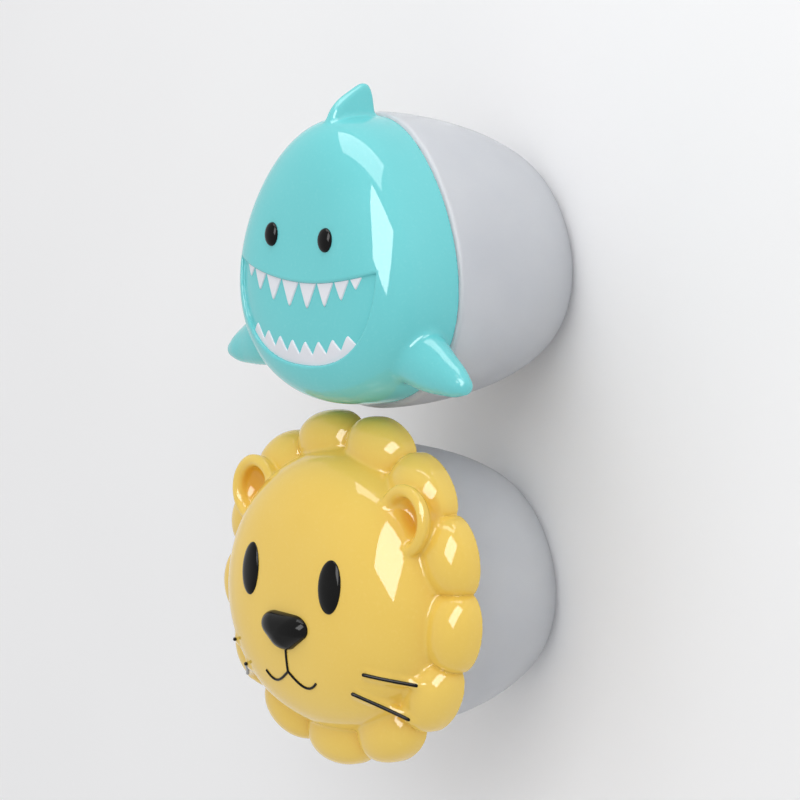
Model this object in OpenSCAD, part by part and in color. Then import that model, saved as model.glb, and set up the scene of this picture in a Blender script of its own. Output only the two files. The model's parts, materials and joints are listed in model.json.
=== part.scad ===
// A pair of snack containers for a toddler. Each is an egg-shaped frosted bowl
// under a domed animal lid, one a shark and one a lion. Both stand on their
// bowls, +Z is the way the lids lift off, and +Y is the top of both faces.
// The origin is at the middle of the pair, on the surface they stand on.

/* [Set] */
// Gap between the shark's bowl and the lion's mane, seen from above
pair_gap = 0.6; // [0.5:0.5:30]
// Points around each outline
round_steps = 40; // [36:4:48]

/* [Rim] */
// Half width of the lid's egg-shaped rim
rim_half_w = 41.6; // [38:0.2:46]
// Half length of the lid's egg-shaped rim
rim_half_l = 44.6; // [41:0.2:49]
// How far the outline narrows towards the top of the face, as a share
rim_egg = 0.22; // [0.1:0.01:0.28]
// Wall of the lid's outer shell
lid_wall = 1.8; // [1.5:0.1:2.4]

/* [Bowl] */
// Height of the shoulder that the lid rests on
bowl_h = 59.5; // [50:0.5:70]
// How far the shoulder reaches past the lid's rim
shoulder_reach = 1.3; // [0.8:0.1:2]
// Radius that rounds the shoulder's outer edge
shoulder_r = 1.5; // [0.8:0.1:2]
// Wall of the bowl
bowl_wall = 1.8; // [1.4:0.1:2.4]
// Floor of the bowl
floor_t = 2.4; // [2:0.1:3]
// Share of the bowl's outline that its foot takes
foot_share = 0.58; // [0.45:0.01:0.7]
// Fullness of the bowl's sides, 2 being round
bowl_fullness = 1.75; // [1.5:0.05:2.4]
// Width of the ring under the foot
foot_ring_w = 4; // [3:0.5:6]
// Depth of the hollow inside that ring
foot_hollow = 0.6; // [0.4:0.1:1]
// Height of the collar inside the lid
collar_h = 7; // [6:0.5:9]
// Wall of the collar
collar_wall = 1.6; // [1.4:0.1:2]
// Height over which the inside narrows to the collar
neck_h = 9; // [6:0.5:12]

/* [Lid inside] */
// Side clearance between the collar and the lid
collar_gap = 0.4; // [0.3:0.1:0.6]
// Height of the lid above the shoulder at rest
seat_gap = 0.1; // [0.1:0.1:0.3]
// Thickness of the liner that closes the dome
liner_t = 1.5; // [1.2:0.1:2]
// Height of the liner above the collar
liner_rise = 0.6; // [0.4:0.1:1]
// How far the liner's plug reaches down into the collar
plug_depth = 5; // [4:0.5:6]
// Wall of the liner's plug behind the seal
plug_wall = 1.4; // [1.2:0.1:2]
// Radial thickness of the seal
seal_w = 1.6; // [1.2:0.1:2]
// Height of the seal
seal_h = 2.4; // [1.8:0.1:3]
// How far the seal stands proud of the plug
seal_proud = 0.5; // [0.3:0.1:0.7]
// Clearance between pieces that are pressed or bonded together
bond_gap = 0.1; // [0.05:0.05:0.2]

/* [Shark lid] */
// Height of the shark's dome above the shoulder
shark_h = 29.5; // [26:0.5:36]
// Fullness of the shark's dome, 2 being round
shark_fullness = 3.9; // [3:0.1:4.4]
// Depth of the mouth below the face
mouth_depth = 1.4; // [1:0.1:1.8]
// Half width of the mouth
mouth_half_w = 31; // [28:0.5:33]
// Height of the mouth's corners, from the middle of the face
mouth_y = -1.5; // [-3:0.5:0]
// Drop from the corners to the middle of the upper edge
mouth_sag = 5.3; // [4:0.1:6]
// Drop from the corners to the bottom of the mouth
mouth_drop = 30.5; // [28:0.5:32]
// Number of upper teeth
upper_teeth = 8; // [6:1:10]
// Length of the longest upper teeth
upper_tooth_l = 8.2; // [6:0.2:10]
// Number of lower teeth
lower_teeth = 8; // [6:1:10]
// Length of the lower teeth
lower_tooth_l = 4.4; // [3:0.2:6]
// Thickness of the teeth
tooth_t = 0.5; // [0.4:0.1:0.7]
// Half width and half height of an eye, and how far it stands out
shark_eye = [2.7, 3.6, 1.1];
// Place of the shark's right-hand eye on the face
shark_eye_at = [13.4, 7];
// Reach of the back fin beyond the middle of the face
dorsal_reach = 54.4; // [52:0.2:58]
// Reach of the side fins from the middle line
pectoral_reach = 59.8; // [56:0.2:63]

/* [Lion lid] */
// Half width of the lion's face
face_half_w = 49; // [46:0.5:51]
// Half length of the lion's face
face_half_l = 44.3; // [42:0.2:46]
// How far the face narrows towards its top, as a share
face_egg = 0.06; // [0:0.01:0.12]
// Height of the lion's dome above the shoulder
lion_h = 28; // [25:0.5:32]
// Fullness of the lion's dome, 2 being round
lion_fullness = 2.8; // [2.2:0.1:3.4]
// Number of tufts in the mane
tufts = 13; // [11:2:15]
// Half width of the mane at the tips of the tufts
mane_half_w = 61.5; // [58:0.5:64]
// Half length of the mane at the tips of the tufts
mane_half_l = 56; // [54:0.5:57]
// Depth of the notches between the tufts
notch_depth = 6.5; // [4:0.5:7]
// Height of the tufts at their crest
mane_h = 11.5; // [10:0.5:12.5]
// Height of the mane's outer edge
mane_edge = 2; // [1.5:0.1:3]
// Depth of the creases between the tufts
crease = 6; // [4:0.5:7]
// Half width and half height of an eye, and how far it stands out
lion_eye = [4.4, 8.3, 1];
// Place of the lion's right-hand eye on the face
lion_eye_at = [20, 4.6];
// Half width, half height and standing height of the nose
nose_size = [9.4, 5.9, 5.2];
// Height of the nose's middle on the face
nose_y = -12; // [-15:0.5:-8]
// Thickness of the mouth's drawn lines
mouth_line_w = 0.9; // [0.7:0.1:1.2]
// Thickness of the whiskers
whisker_w = 1.1; // [0.9:0.1:1.5]
// Middle of the lion's right-hand ear
ear_at = [37.6, 26.6];
// Outer radius of an ear
ear_r = 11; // [9:0.5:11.5]
// Height of an ear's rim above the shoulder
ear_h = 13.5; // [12:0.5:15]
// Thickness of an ear's rim
ear_rim = 1.8; // [1.6:0.1:2.6]

/* [Hidden] */
teal = [0.46, 0.8, 0.8];
yellow = [0.91, 0.77, 0.37];
frost = [0.9, 0.92, 0.93, 0.6];
clear = [0.93, 0.94, 0.94];
silicone = [0.97, 0.97, 0.96];
black = [0.06, 0.06, 0.06];
white = [0.95, 0.95, 0.96];

pair_pitch = rim_half_l + shoulder_reach + pair_gap + mane_half_l;
pair_l = dorsal_reach + pair_pitch + mane_half_l;
shark_y = pair_l / 2 - dorsal_reach;
lion_y = shark_y - pair_pitch;
lid_z = bowl_h + seat_gap;
dome_rings = 8;
core_steps = 28;
core_rings = 4;
floor_steps = 32;
floor_rings = 7;
ball = 12;
ear_steps = 16;
tooth_steps = 8;
skin_eps = 0.01;

// Insets of the rim's outline for what nests inside it
collar_out = lid_wall + collar_gap;
collar_in = collar_out + collar_wall;
plug_out = collar_in + seal_proud + bond_gap;
groove_in = collar_in + collar_gap + seal_w;
plug_in = groove_in + plug_wall;
liner_z = lid_z + collar_h + liner_rise;
seal_z = liner_z - plug_depth + (plug_depth - seal_h) / 2;

// A plan is [half width, half length, egg]. A dome is [plan, height, fullness].
rim_plan = [rim_half_w, rim_half_l, rim_egg];
face_plan = [face_half_w, face_half_l, face_egg];
shark_dome = [rim_plan, shark_h, shark_fullness];
lion_dome = [face_plan, lion_h, lion_fullness];

function inset(plan, d) = [plan[0] - d, plan[1] - d, plan[2]];
function sunk(dome, d) = [inset(dome[0], d), dome[1] - d, dome[2]];
function smooth(t) = t * t * (3 - 2 * t);
function unit(v) = v / norm(v);

// Point of a plan at angle a, with the outline drawn in to share s
function plan_point(plan, a, s = 1) =
    [s * plan[0] * cos(a) * (1 - plan[2] * s * sin(a)), s * plan[1] * sin(a)];

// Ring of points at height z
function ring(plan, z, s = 1, n = round_steps) =
    [for (i = [0 : n - 1]) let (p = plan_point(plan, 360 * i / n, s)) [p[0], p[1], z]];

// Which share of the plan passes through a point, and the dome's height there
function share_at(plan, x, y) = norm([x / (plan[0] * (1 - plan[2] * y / plan[1])), y / plan[1]]);
function dome_z(dome, x, y) =
    let (s = share_at(dome[0], x, y))
    s >= 1 ? 0 : dome[1] * pow(1 - pow(s, dome[2]), 1 / dome[2]);
function dome_normal(dome, x, y, e = 0.2) =
    unit([dome_z(dome, x - e, y) - dome_z(dome, x + e, y),
          dome_z(dome, x, y - e) - dome_z(dome, x, y + e), 2 * e]);

// Closed skin through a list of rings of equal length, flat at both ends
module skin(rings) {
    n = len(rings[0]);
    last = len(rings) - 1;
    polyhedron(
        points = [for (r = rings) each r],
        faces = concat(
            [[for (i = [0 : n - 1]) i]],
            [for (k = [0 : last - 1], i = [0 : n - 1])
                let (j = (i + 1) % n)
                each [[k * n + i, (k + 1) * n + i, (k + 1) * n + j],
                      [k * n + i, (k + 1) * n + j, k * n + j]]],
            [[for (i = [0 : n - 1]) last * n + n - 1 - i]]),
        convexity = 6);
}

// Solid dome standing on z = 0
module dome_solid(dome, n = round_steps, rings = dome_rings) {
    skin([for (k = [0 : rings])
        let (a = 86 * k / rings)
        ring(dome[0], dome[1] * pow(sin(a), 2 / dome[2]), pow(cos(a), 2 / dome[2]), n)]);
}

// Straight wall on the plan from z0 to z1
module plan_prism(plan, z0, z1, n = round_steps) {
    translate([0, 0, z0]) linear_extrude(z1 - z0)
        polygon([for (i = [0 : n - 1]) plan_point(plan, 360 * i / n)]);
}

// Puts its children on a dome at (x, y), with their Z along the surface's normal
module on_dome(dome, x, y) {
    n = dome_normal(dome, x, y);
    ex = unit(cross([0, 1, 0], n));
    ey = cross(n, ex);
    multmatrix([[ex[0], ey[0], n[0], x],
                [ex[1], ey[1], n[1], y],
                [ex[2], ey[2], n[2], dome_z(dome, x, y)],
                [0, 0, 0, 1]]) children();
}

module mirrored(both = true) {
    children();
    if (both) mirror([1, 0, 0]) children();
}

// ---- bowl ----
// Plan of the bowl's side, angle 0 at the shoulder and 90 at the foot
function side_share(a) = foot_share + (1 - foot_share) * pow(cos(a), 2 / bowl_fullness);
function side_drop(a) = pow(sin(a), 2 / bowl_fullness);

module bowl() {
    out_plan = inset(rim_plan, -shoulder_reach);
    in_plan = inset(out_plan, bowl_wall);
    neck_plan = inset(rim_plan, collar_in);
    bead_r = collar_wall / 2;
    collar_top = bowl_h + collar_h;
    foot_in = foot_share - foot_ring_w / out_plan[1];
    in_rise = bowl_h - neck_h - floor_t;
    skin(concat(
        [ring(out_plan, foot_hollow, foot_in - 0.015),
         ring(out_plan, 0, foot_in),
         ring(out_plan, 0, foot_share)],
        [for (a = [72 : -14 : 16])
            ring(out_plan, (bowl_h - shoulder_r) * (1 - side_drop(a)), side_share(a))],
        [for (a = [0 : 45 : 90])
            ring(inset(out_plan, shoulder_r * (1 - cos(a))), bowl_h - shoulder_r * (1 - sin(a)))],
        [ring(inset(rim_plan, collar_out), bowl_h)],
        [for (a = [0 : 90 : 180])
            ring(inset(rim_plan, collar_out + bead_r * (1 - cos(a))),
                 collar_top - bead_r * (1 - sin(a)))],
        [for (t = [0.4 : 0.6 : 1])
            ring([for (i = [0 : 2]) neck_plan[i] + (in_plan[i] - neck_plan[i]) * smooth(t)],
                 bowl_h - neck_h * t)],
        [for (a = [34 : 20 : 74])
            ring(in_plan, floor_t + in_rise * (1 - side_drop(a)), side_share(a))],
        [ring(in_plan, floor_t, side_share(86))]));
}

module shark_bowl() color(frost) translate([0, shark_y, 0]) bowl();
module lion_bowl() color(frost) translate([0, lion_y, 0]) bowl();

// ---- what closes a lid from below ----
module liner() {
    rim = inset(rim_plan, lid_wall + bond_gap);
    difference() {
        union() {
            plan_prism(rim, liner_z, liner_z + liner_t);
            plan_prism(inset(rim_plan, plug_out), liner_z - plug_depth, liner_z + skin_eps);
        }
        plan_prism(inset(rim_plan, plug_in), liner_z - plug_depth - 1, liner_z);
        difference() {
            plan_prism(rim, seal_z - bond_gap, seal_z + seal_h + bond_gap);
            plan_prism(inset(rim_plan, groove_in), seal_z - 1, seal_z + seal_h + 1);
        }
    }
}

module seal() {
    difference() {
        plan_prism(inset(rim_plan, collar_in + collar_gap), seal_z, seal_z + seal_h);
        plan_prism(inset(rim_plan, groove_in - bond_gap), seal_z - 1, seal_z + seal_h + 1);
    }
}

module shark_lid_liner() color(clear) translate([0, shark_y, 0]) liner();
module lion_lid_liner() color(clear) translate([0, lion_y, 0]) liner();
module shark_seal() color(silicone) translate([0, shark_y, 0]) seal();
module lion_seal() color(silicone) translate([0, lion_y, 0]) seal();

// Places a lid's pieces on its bowl
module at_shark() translate([0, shark_y, lid_z]) children();
module at_lion() translate([0, lion_y, lid_z]) children();

// ---- eyes ----
// Elliptical plug with a domed front, z = 0 on the face
module eye(size, depth) {
    scale([size[0], size[1], 1]) translate([0, 0, -depth]) cylinder(r = 1, h = depth, $fn = 48);
    intersection() {
        scale(size) sphere(r = 1, $fn = 48);
        translate([-size[0] - 1, -size[1] - 1, 0]) cube([2 * size[0] + 2, 2 * size[1] + 2, size[2] + 1]);
    }
}

module eye_pocket(size, depth) {
    translate([0, 0, -depth]) scale([size[0] + bond_gap, size[1] + bond_gap, 1])
        cylinder(r = 1, h = depth + 3, $fn = 24);
}

pocket_depth = 1;

// ---- shark ----
// Lower edge of the mouth at x, and its upper edge
mouth_round = 2.1;
strip_h = 3.2;
gum_h = 0.8;
function mouth_low(x) =
    mouth_y - mouth_drop * pow(max(0, 1 - pow(abs(x) / mouth_half_w, mouth_round)), 1 / mouth_round);
function mouth_high(x) = mouth_y - mouth_sag * (1 - pow(x / mouth_half_w, 2));

module mouth_outline(grow = 0) {
    w = mouth_half_w;
    offset(delta = grow) polygon(concat(
        [for (k = [-6 : 6]) [w * k / 6, mouth_high(w * k / 6)]],
        [for (a = [12 : 12 : 168])
            [w * cos(a), mouth_low(w * cos(a))]]));
}

// Half width of the strip that carries the lower teeth, and its edges
strip_half_w = 0.83 * mouth_half_w;
function strip_valley(x) =
    mouth_low(0) + strip_h
    + (mouth_low(strip_half_w) - mouth_low(0) - strip_h) * pow(x / strip_half_w, 2);

// Thin layer that lies on the floor of the mouth
module mouth_layer() {
    difference() {
        dome_solid(sunk(shark_dome, mouth_depth - tooth_t), floor_steps, floor_rings);
        dome_solid(sunk(shark_dome, mouth_depth), floor_steps, floor_rings);
        translate([0, 0, -1]) cube([200, 200, 8], center = true);
    }
}

// Rounded tooth with its base at (x, y0), pointing to (x, y1)
module tooth(x, y0, y1, w) {
    tip_r = 0.25;
    linear_extrude(shark_h + 5) hull() {
        translate([x - w / 2 + tip_r, y0]) circle(tip_r, $fn = tooth_steps);
        translate([x + w / 2 - tip_r, y0]) circle(tip_r, $fn = tooth_steps);
        translate([x, y1 + tip_r * sign(y0 - y1)]) circle(tip_r, $fn = tooth_steps);
    }
}

module shark_upper_teeth() color(white) at_shark() {
    middle = (upper_teeth - 1) / 2;
    step = 128 / upper_teeth;
    intersection() {
        mouth_layer();
        linear_extrude(shark_h + 5) mouth_outline(-bond_gap);
        union() for (i = [0 : upper_teeth - 1]) {
            a = (i - middle) * step;
            x = mouth_half_w * sin(a);
            w = 0.95 * mouth_half_w * cos(a) * step * PI / 180;
            l = upper_tooth_l * (1 - 0.52 * pow(abs(i - middle) / middle, 2.6));
            tooth(x, mouth_high(x) + gum_h, mouth_high(x) - l, w);
        }
    }
}

module shark_lower_teeth() color(white) at_shark() {
    w = strip_half_w;
    pitch = 2 * w / lower_teeth;
    middle = (lower_teeth - 1) / 2;
    intersection() {
        mouth_layer();
        linear_extrude(shark_h + 5) mouth_outline(-bond_gap);
        union() {
            linear_extrude(shark_h + 5) polygon(concat(
                [for (k = [-10 : 10]) [w * k / 10, strip_valley(w * k / 10)]],
                [[w, mouth_low(0) - 2], [-w, mouth_low(0) - 2]]));
            for (i = [0 : lower_teeth - 1]) {
                x = (i - middle) * pitch;
                l = lower_tooth_l * (1 - 0.3 * pow(x / w, 2));
                tooth(x, strip_valley(x) - gum_h, strip_valley(x) + l, pitch);
            }
        }
    }
}

module shark_eye_plug(side) color(black) at_shark()
    on_dome(shark_dome, side * shark_eye_at[0], shark_eye_at[1])
        eye(shark_eye, pocket_depth - bond_gap);
module shark_left_eye() shark_eye_plug(-1);
module shark_right_eye() shark_eye_plug(1);

// Swept fin on the back of the head, in the plane x = 0
module dorsal_fin() {
    root = [0, rim_half_l - 4, 0];
    tip = [0, dorsal_reach - 1.5, 6.6];
    brow = [0, rim_half_l + 0.4, 17.2];
    bend = [0, dorsal_reach - 5, 12.2];
    heel = [0, rim_half_l + 0.4, 4];
    back = [0, dorsal_reach - 5.4, 5];
    hull() {
        translate(root + [0, 0, 18]) sphere(2.4, $fn = ball);
        translate(brow) sphere(1.9, $fn = ball);
        translate(root + [0, 0, 4]) sphere(3, $fn = ball);
        translate(heel) sphere(2.3, $fn = ball);
    }
    hull() {
        translate(brow) sphere(1.9, $fn = ball);
        translate(bend) sphere(1.7, $fn = ball);
        translate(heel) sphere(2.3, $fn = ball);
        translate(back) sphere(1.9, $fn = ball);
    }
    hull() {
        translate(bend) sphere(1.7, $fn = ball);
        translate(back) sphere(1.9, $fn = ball);
        translate(tip) sphere(1.5, $fn = ball);
    }
}

// Flipper that spreads from the flank
module pectoral_fin() {
    root = [rim_half_w - 7, -26, 9];
    knee = [rim_half_w + 5, -29.8, 9];
    tip = [pectoral_reach - 2.8, -33, 9];
    hull() {
        translate(root) scale([1, 1.25, 1]) sphere(7.8, $fn = ball + 2);
        translate(knee) scale([1, 1.3, 0.9]) sphere(5.6, $fn = ball + 2);
    }
    hull() {
        translate(knee) scale([1, 1.3, 0.9]) sphere(5.6, $fn = ball + 2);
        translate(tip + [-4.6, 1.6, 0]) sphere(4.8, $fn = ball);
        translate(tip) sphere(2.8, $fn = ball);
    }
}

module shark_lid() color(teal) at_shark() {
    tall = shark_h + 5;
    difference() {
        union() {
            difference() {
                union() {
                    dome_solid(shark_dome);
                    dorsal_fin();
                    mirrored() pectoral_fin();
                }
                linear_extrude(tall) mouth_outline();
            }
            intersection() {
                dome_solid(sunk(shark_dome, mouth_depth), floor_steps, floor_rings);
                linear_extrude(tall) mouth_outline(0.5);
            }
        }
        difference() {
            translate([0, 0, -skin_eps]) dome_solid(sunk(shark_dome, lid_wall), core_steps, core_rings);
            linear_extrude(tall) mouth_outline(lid_wall);
        }
        translate([0, 0, -skin_eps])
            dome_solid(sunk(shark_dome, lid_wall + mouth_depth), core_steps, core_rings);
        plan_prism(inset(rim_plan, lid_wall), -1, collar_h + liner_rise + liner_t + bond_gap);
        mirrored() on_dome(shark_dome, shark_eye_at[0], shark_eye_at[1])
            eye_pocket(shark_eye, pocket_depth);
    }
}

// ---- lion ----
// Position in a tuft, 0 at its crest and 1 at a notch, with a notch at the top
function tuft_at(a) = abs(2 * ((a - 90) * tufts / 360 - floor((a - 90) * tufts / 360)) - 1);
function tuft_round(a) = sqrt(1 - pow(0.97 * tuft_at(a), 2));

// Height of a tuft along its length, 0 under the face and 1 at the outer edge
function tuft_rise(t) =
    t < 0.4 ? 0.78 + 0.22 * sin(90 * t / 0.4) : pow(1 - pow((t - 0.4) / 0.6, 2.3), 1 / 2.3);

// Solid mane standing on z = 0, drawn in by d on every side
module mane(d, steps, stations) {
    n = tufts * steps;
    inner = inset(face_plan, 5);
    rows = [for (t = concat([0], stations))
        [for (i = [0 : n - 1])
            let (a = 90 + 360 * i / n,
                 cut = notch_depth * (1 - tuft_round(a)) + d,
                 rim = [(mane_half_w - cut) * cos(a), (mane_half_l - cut) * sin(a)],
                 root = plan_point(inner, a),
                 h = mane_h - d - crease * (1 - tuft_round(a)) - mane_edge)
            [root[0] + (rim[0] - root[0]) * t, root[1] + (rim[1] - root[1]) * t,
             mane_edge + h * tuft_rise(t)]]];
    base = [for (p = rows[len(rows) - 1]) [p[0], p[1], 0]];
    skin([for (k = [len(rows) : -1 : 0]) k == len(rows) ? base : rows[k]]);
}

// Half-open ear: a cup with a rolled rim that opens towards the face
ear_start = -54;
ear_turn = 186;
module ear() {
    x = ear_at[0];
    y = ear_at[1];
    rim_r = ear_r - ear_rim;
    difference() {
        hull() {
            translate([x, y, ear_h - 1.5]) cylinder(r = ear_r - 0.8, h = 1.5, $fn = ear_steps);
            translate([x - 2, y - 2, 5]) cylinder(r = ear_r - 3, h = 1, $fn = ear_steps);
        }
        hull() {
            translate([x, y, ear_h - 0.5]) cylinder(r = rim_r - ear_rim + 1, h = 2, $fn = ear_steps);
            translate([x - 1, y - 1, ear_h - 5.5])
                cylinder(r = rim_r - ear_rim - 2, h = 1, $fn = ear_steps);
        }
    }
    translate([x, y, ear_h]) rotate([0, 0, ear_start]) {
        rotate_extrude(angle = ear_turn, $fn = 24) translate([rim_r, 0]) circle(ear_rim, $fn = 8);
        for (a = [0, ear_turn]) rotate([0, 0, a]) translate([rim_r, 0, 0]) sphere(ear_rim, $fn = 8);
    }
}

// Points on the lion's face that the mouth's two curves follow
smile_half_w = 12.5;
smile_y = -24.8;
smile_sag = 4;
function smile(t) = [smile_half_w * t * (1.2 - 0.2 * t), smile_y - smile_sag * sin(152 * t)];
function on_face(p, d = 0) = [p[0], p[1], dome_z(lion_dome, p[0], p[1]) + d];

// Bent line of beads of radius r through the points
module line_through(points, r) {
    for (i = [0 : len(points) - 2]) hull() {
        translate(points[i]) sphere(r, $fn = 6);
        translate(points[i + 1]) sphere(r, $fn = 6);
    }
}

module mouth_lines(r) {
    mirrored() line_through([for (t = [0 : 0.25 : 1]) on_face(smile(t))], r);
    line_through([on_face([0, nose_y - 5]), on_face(smile(0))], r);
}

// The upper and the lower whisker run from the cheek out over the mane. Each
// has an angle and a share of the face at its root, and of the mane at its end.
whisker_roots = [[-35.2, 0.8], [-48.9, 0.82]];
whisker_ends = [[-28.5, 0.84], [-42, 0.9]];
whisker_ridge = 1.3;
function whisker_point(i, t) =
    let (root = plan_point(face_plan, whisker_roots[i][0], whisker_roots[i][1]),
         a = whisker_ends[i][0],
         end = whisker_ends[i][1] * [mane_half_w * cos(a), mane_half_l * sin(a)])
    root + (end - root) * t;
function mane_top(p) = max(dome_z(lion_dome, p[0], p[1]), mane_h - 1.5);

module whisker_lines(r, lift = whisker_ridge) {
    for (i = [0 : len(whisker_roots) - 1])
        line_through([for (t = [0, 0.42, 1])
            let (p = whisker_point(i, t)) [p[0], p[1], mane_top(p) + lift]], r);
}

module nose(grow = 0) {
    w = nose_size[0];
    l = nose_size[1];
    rise = nose_size[2];
    on_dome(lion_dome, 0, nose_y) hull() {
        for (side = [-1, 1]) translate([side * 0.36 * w, 0.24 * l, 0])
            scale([0.64 * w + grow, 0.76 * l + grow, rise + grow]) sphere(1, $fn = 14);
        translate([0, -0.3 * l, 0])
            scale([0.72 * w + grow, 0.7 * l + grow, 0.9 * rise + grow]) sphere(1, $fn = 14);
    }
}

// Everything of the nose above the flat floor of its pocket
module above_nose_floor(drop) {
    on_dome(lion_dome, 0, nose_y) translate([-20, -20, -drop]) cube([40, 40, 20]);
}

module lion_nose() color(black) at_lion() intersection() {
    nose();
    above_nose_floor(pocket_depth - bond_gap);
}

module lion_eye_plug(side) color(black) at_lion()
    on_dome(lion_dome, side * lion_eye_at[0], lion_eye_at[1])
        eye(lion_eye, pocket_depth - bond_gap);
module lion_left_eye() lion_eye_plug(-1);
module lion_right_eye() lion_eye_plug(1);

module lion_mouth() color(black) at_lion() difference() {
    mouth_lines(mouth_line_w / 2);
    nose(2 * bond_gap);
}
module lion_right_whiskers() color(black) at_lion() whisker_lines(whisker_w / 2);
module lion_left_whiskers() color(black) at_lion() mirror([1, 0, 0]) whisker_lines(whisker_w / 2);

module lion_lid() color(yellow) at_lion() {
    difference() {
        union() {
            dome_solid(lion_dome);
            mane(0, 6, [0.4, 0.62, 0.8, 0.92, 1]);
            mirrored() intersection() {
                ear();
                translate([0, 0, mane_edge]) cube([200, 200, 100], center = true);
            }
            mirrored() whisker_lines(whisker_ridge, 0);
        }
        difference() {
            union() {
                translate([0, 0, -skin_eps])
                    dome_solid(sunk(lion_dome, lid_wall), core_steps, core_rings);
                translate([0, 0, -skin_eps]) mane(lid_wall, 4, [0.6, 1]);
            }
            difference() {
                plan_prism(rim_plan, -1, lion_h);
                plan_prism(inset(rim_plan, lid_wall), -2, lion_h + 1);
            }
        }
        plan_prism(inset(rim_plan, lid_wall), -1, collar_h + liner_rise + liner_t + bond_gap);
        mirrored() on_dome(lion_dome, lion_eye_at[0], lion_eye_at[1])
            eye_pocket(lion_eye, pocket_depth);
        intersection() {
            nose(bond_gap);
            above_nose_floor(pocket_depth);
        }
        mouth_lines(mouth_line_w / 2 + bond_gap);
        mirrored() whisker_lines(whisker_w / 2 + bond_gap);
    }
}

shark_bowl();
shark_lid();
shark_lid_liner();
shark_seal();
shark_left_eye();
shark_right_eye();
shark_upper_teeth();
shark_lower_teeth();
lion_bowl();
lion_lid();
lion_lid_liner();
lion_seal();
lion_left_eye();
lion_right_eye();
lion_nose();
lion_mouth();
lion_left_whiskers();
lion_right_whiskers();
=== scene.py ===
import json
import math

import bpy
import numpy as np
from mathutils import Matrix, Vector


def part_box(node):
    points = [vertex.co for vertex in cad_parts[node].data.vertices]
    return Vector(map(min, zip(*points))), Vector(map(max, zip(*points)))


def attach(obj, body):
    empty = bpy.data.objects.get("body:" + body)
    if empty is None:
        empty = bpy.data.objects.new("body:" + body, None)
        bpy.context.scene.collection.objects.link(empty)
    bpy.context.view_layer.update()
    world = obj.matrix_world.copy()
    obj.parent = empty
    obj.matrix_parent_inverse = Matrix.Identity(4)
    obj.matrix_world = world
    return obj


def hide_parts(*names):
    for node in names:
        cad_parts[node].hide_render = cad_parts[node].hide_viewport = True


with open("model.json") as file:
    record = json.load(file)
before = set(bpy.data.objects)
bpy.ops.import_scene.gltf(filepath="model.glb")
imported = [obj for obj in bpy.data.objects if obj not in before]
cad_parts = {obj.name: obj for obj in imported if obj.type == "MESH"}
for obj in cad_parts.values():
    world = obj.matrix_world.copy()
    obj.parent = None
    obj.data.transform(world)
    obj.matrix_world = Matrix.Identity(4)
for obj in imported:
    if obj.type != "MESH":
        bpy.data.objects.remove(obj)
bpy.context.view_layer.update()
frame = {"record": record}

mm = 0.001  # shapes are worked out in millimetres, about a container's own upright axis
record = frame["record"]
bodyOf = {node: body for body, nodes in record["behaviour"]["bodies"].items() for node in nodes}


def homeOf(bowlNode, lidNode):
    # middle of a container, at the height where its lid starts
    low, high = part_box(bowlNode)
    return Vector(((low.x + high.x) / 2, (low.y + high.y) / 2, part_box(lidNode)[0].z)) / mm


homes = {"shark": homeOf("shark_bowl", "shark_lid"), "lion": homeOf("lion_bowl", "lion_lid")}
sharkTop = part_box("shark_lid")[1].z / mm - homes["shark"].z

# the camera stands where the photograph was taken from
cameraSetup = {
    "target": (16.7, 10.2, 59.7),
    "distance": 1030,
    "back": (0.7711, 0.1025, 0.6284),
    "up": (-0.1087, 0.9937, -0.0287),
    "lens": 150.9,
}


def makeCamera():
    data = bpy.data.cameras.new("camera")
    data.sensor_width = 36
    data.lens = cameraSetup["lens"]
    data.clip_end = 20
    camera = bpy.data.objects.new("camera", data)
    bpy.context.scene.collection.objects.link(camera)
    back = Vector(cameraSetup["back"]).normalized()
    right = Vector(cameraSetup["up"]).cross(back).normalized()
    turn = Matrix((right, back.cross(right), back)).transposed().to_4x4()
    spot = (Vector(cameraSetup["target"]) + back * cameraSetup["distance"]) * mm
    camera.matrix_world = Matrix.Translation(spot) @ turn
    bpy.context.scene.camera = camera


makeCamera()


# shader maths: a Wire is a socket that takes part in expressions
class Wire:
    def __init__(self, finish, socket):
        self.finish = finish
        self.socket = socket

    def maths(self, operation, first, second):
        return self.finish.add("ShaderNodeMath", {"operation": operation}, {0: first, 1: second})

    def __add__(self, other):
        return self.maths("ADD", self, other)

    def __radd__(self, other):
        return self.maths("ADD", other, self)

    def __sub__(self, other):
        return self.maths("SUBTRACT", self, other)

    def __rsub__(self, other):
        return self.maths("SUBTRACT", other, self)

    def __mul__(self, other):
        return self.maths("MULTIPLY", self, other)

    def __rmul__(self, other):
        return self.maths("MULTIPLY", other, self)


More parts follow.
